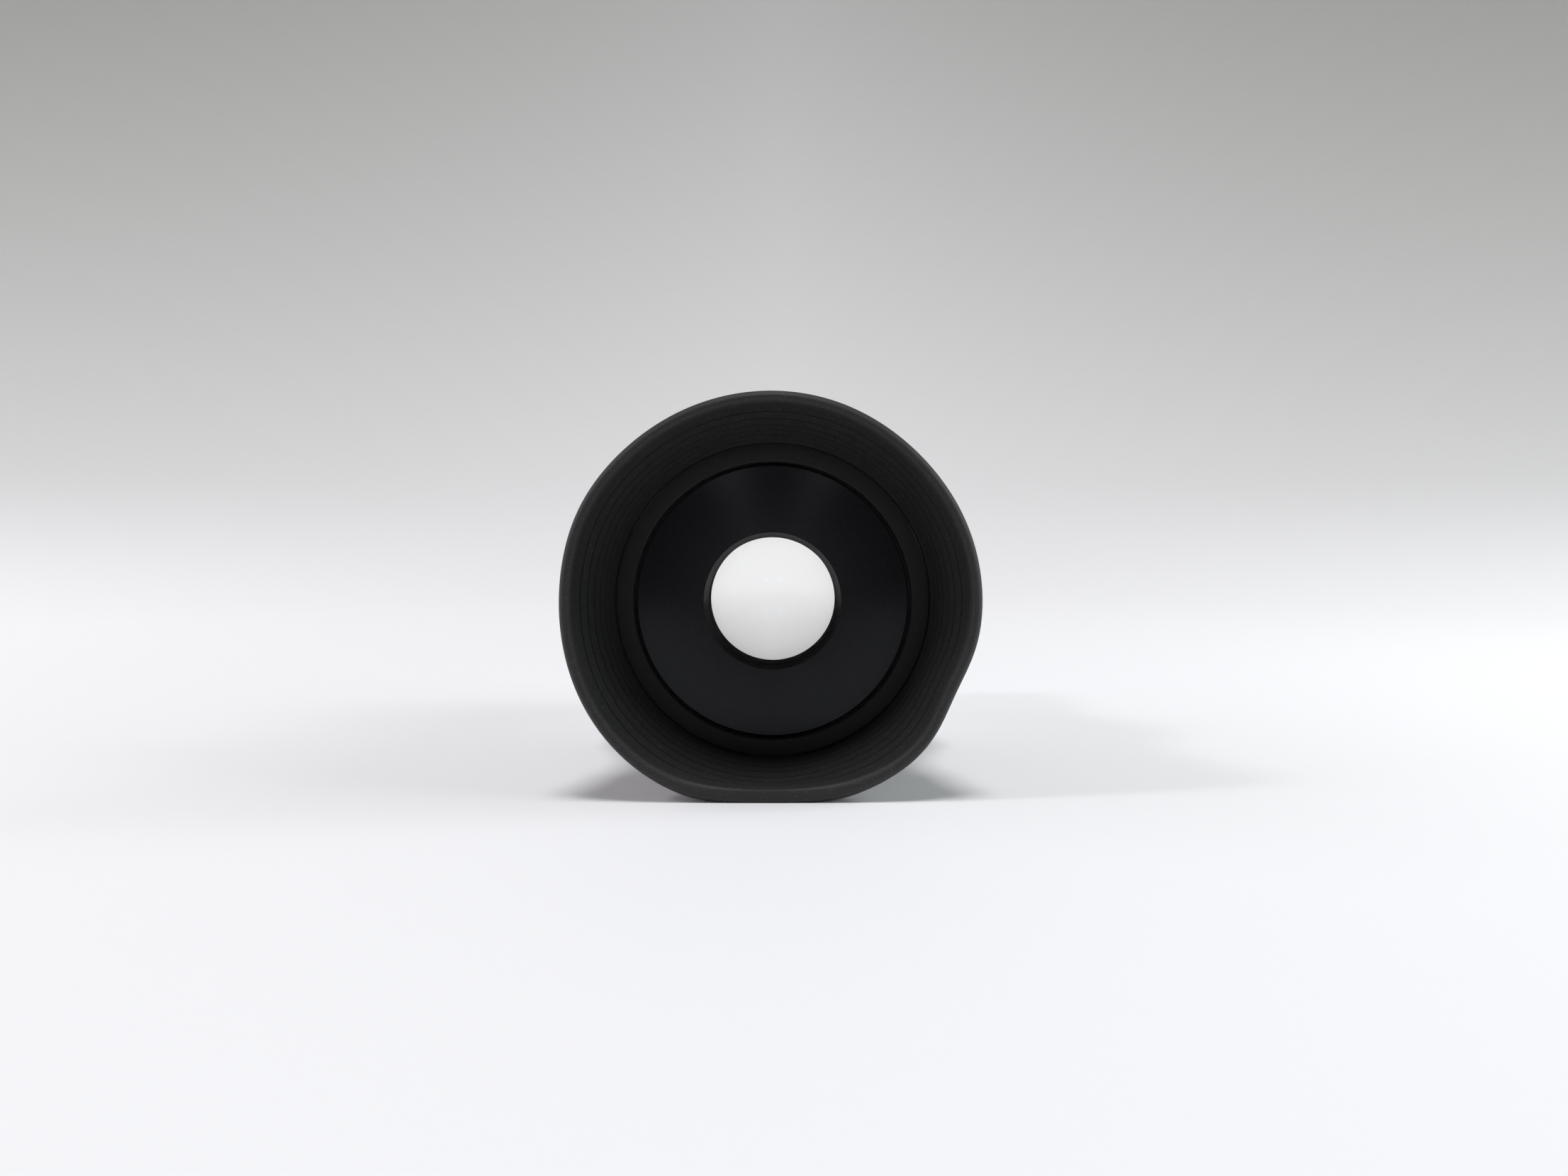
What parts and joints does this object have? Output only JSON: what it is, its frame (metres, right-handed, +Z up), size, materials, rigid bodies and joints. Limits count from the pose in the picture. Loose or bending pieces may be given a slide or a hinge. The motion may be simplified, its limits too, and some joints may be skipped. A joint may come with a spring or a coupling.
{
  "type": "telescope eyepiece",
  "caption": "Small four-element telescope eyepiece with a fold-down rubber eyecup, ribbed grip and chromed 31.7 mm nosepiece, lying on its side.",
  "frame": {"origin": "on the table, below the middle of the eyepiece's length", "axes": "+Y along the optical axis from the eye end to the nosepiece, +Z up from the table"},
  "size_m": [0.044, 0.065, 0.0429],
  "materials": {
    "cup_rubber": "dusty matte",
    "grip_rubber": "matte",
    "nitrile": "satin",
    "black_anodised": "turned satin black anodising",
    "blackened_metal": "matte black",
    "chrome": "polished",
    "black_steel": "black oxide",
    "washer_film": "matte",
    "flint_glass": "polished, coated",
    "crown_glass": "polished, coated"
  },
  "bodies": {
    "housing": {"eyecup_collar": "cup_rubber", "face_plate": "black_anodised", "head_shell": "black_anodised", "o_ring": "nitrile", "main_body": "black_anodised", "grip_ring": "grip_rubber", "set_screw_1": "black_steel", "set_screw_2": "black_steel", "set_screw_3": "black_steel", "nosepiece": "chrome", "field_stop": "blackened_metal", "lens_cell": "blackened_metal", "eye_washer": "washer_film", "eye_lens_flint": "flint_glass", "eye_lens_crown": "crown_glass", "lens_spacer": "blackened_metal", "field_lens_crown": "crown_glass", "field_lens_flint": "flint_glass", "field_washer": "washer_film", "lens_retainer": "blackened_metal"},
    "eyecup": {"eyecup_skirt": "cup_rubber"}
  },
  "joints": [
    {"name": "eyecup_fold", "type": "slide", "parent": "housing", "child": "eyecup", "axis": [0, 1, 0], "range_m": [0, 0.011]}
  ]
}
